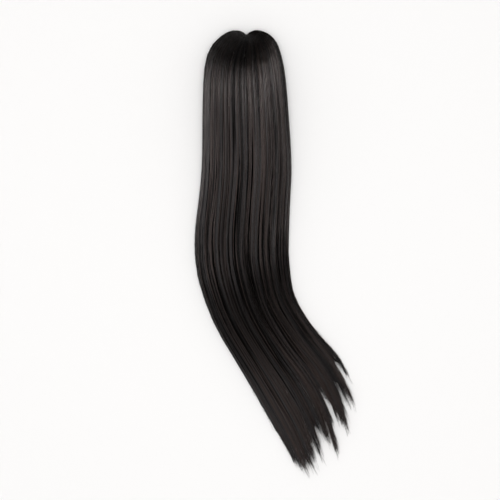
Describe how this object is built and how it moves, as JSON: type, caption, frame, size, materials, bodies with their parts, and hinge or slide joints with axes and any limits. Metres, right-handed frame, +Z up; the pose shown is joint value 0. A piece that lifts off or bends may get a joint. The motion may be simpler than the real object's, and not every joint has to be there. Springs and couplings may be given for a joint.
{
  "type": "ponytail hairpiece",
  "caption": "Long straight clip-on ponytail hairpiece: two hanks of hair parted over a claw clip, over a shorter under layer, lying with its ends swept to one side.",
  "frame": {"origin": "middle of the claw clip's flat jaw, on the surface that the hairpiece lies on", "axes": "+X to the side that the ends sweep to, +Y towards the crown, +Z up from the surface"},
  "size_m": [0.2125, 0.5968, 0.0458],
  "materials": {
    "hair": "near-black straight fibre hair with a soft sheen",
    "clip": "black moulded plastic"
  },
  "bodies": {
    "root": {"left_hair": "hair", "right_hair": "hair", "under_hair": "hair", "claw_clip": "clip"}
  },
  "joints": []
}
